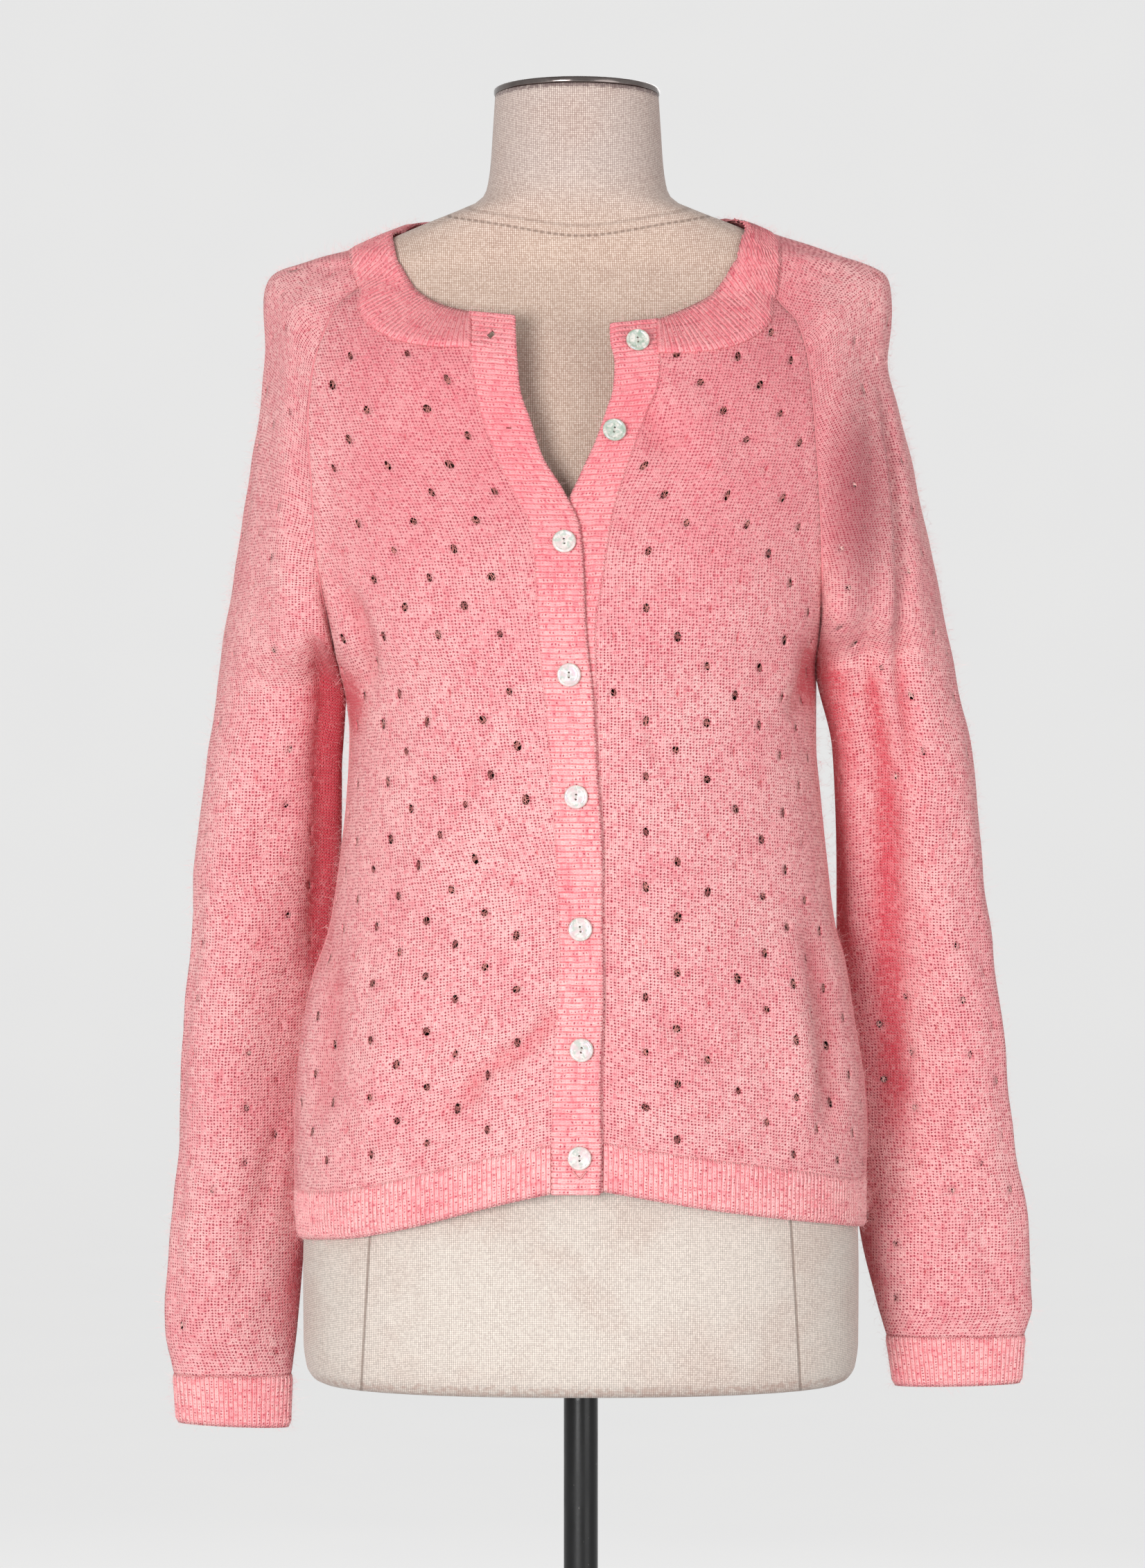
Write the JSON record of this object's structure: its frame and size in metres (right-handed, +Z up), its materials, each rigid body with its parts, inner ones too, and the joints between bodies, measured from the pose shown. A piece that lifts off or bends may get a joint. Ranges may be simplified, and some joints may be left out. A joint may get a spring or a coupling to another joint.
{
  "type": "cardigan on dress form",
  "caption": "Raglan knitted cardigan with pointelle holes and ribbed edges, half buttoned, on a limbless linen dress form with pole and round base",
  "frame": {"origin": "centre of the round base's underside, on the floor", "axes": "+Z up the pole, +X to the viewer's right (the wearer's left), the cardigan's front faces -Y"},
  "size_m": [0.5587, 0.36, 1.5493],
  "materials": {
    "knit": "fuzzy heathered salmon pink stockinette with a lattice of small open holes",
    "rib_knit": "fuzzy heathered salmon pink rib",
    "shell": "polished mother of pearl, pale with green and blue sheen",
    "linen": "plain woven natural linen with slubs, stretched over the form",
    "steel": "thin bright metal disc",
    "black_paint": "worn semi-gloss black"
  },
  "bodies": {
    "root": {"front_right": "knit", "front_left": "knit", "back": "knit", "sleeve_right": "knit", "sleeve_left": "knit", "hem_front_right": "rib_knit", "hem_front_left": "rib_knit", "hem_back": "rib_knit", "cuff_right": "rib_knit", "cuff_left": "rib_knit", "neckband": "rib_knit", "band_right": "rib_knit", "band_left": "rib_knit", "button_1": "shell", "button_2": "shell", "button_3": "shell", "button_4": "shell", "button_5": "shell", "button_6": "shell", "button_7": "shell", "button_8": "shell", "form_torso": "linen", "form_neck_cap": "steel", "form_pole": "black_paint", "form_base": "black_paint"}
  },
  "joints": []
}
